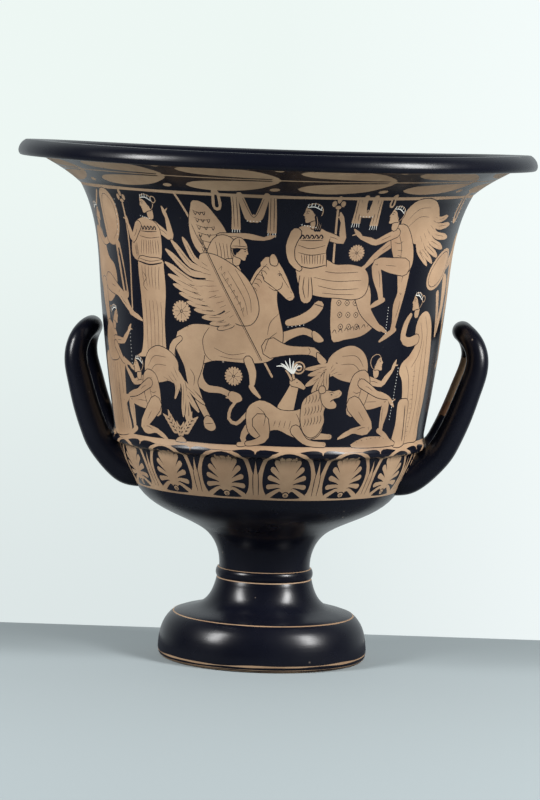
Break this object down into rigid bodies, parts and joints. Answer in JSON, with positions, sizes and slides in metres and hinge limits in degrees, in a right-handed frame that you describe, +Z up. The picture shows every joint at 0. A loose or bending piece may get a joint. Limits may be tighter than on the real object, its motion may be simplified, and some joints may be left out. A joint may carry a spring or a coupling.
{
  "type": "greek krater",
  "caption": "Open calyx-shaped mixing bowl of painted pottery on a stem and hollow foot, with upright loop handles low on its sides.",
  "frame": {"origin": "centre of the foot's resting ring, on the surface that the krater stands on", "axes": "+Z up along the axis of the bowl; the handles lie along +X and -X; -Y is the front, with the main picture"},
  "size_m": [0.4512, 0.4512, 0.448],
  "materials": {
    "painted_pottery": "blue-black gloss slip over orange-tan fired clay, with the figures and border bands left in the clay colour"
  },
  "bodies": {
    "root": {"krater": "painted_pottery"}
  },
  "joints": []
}
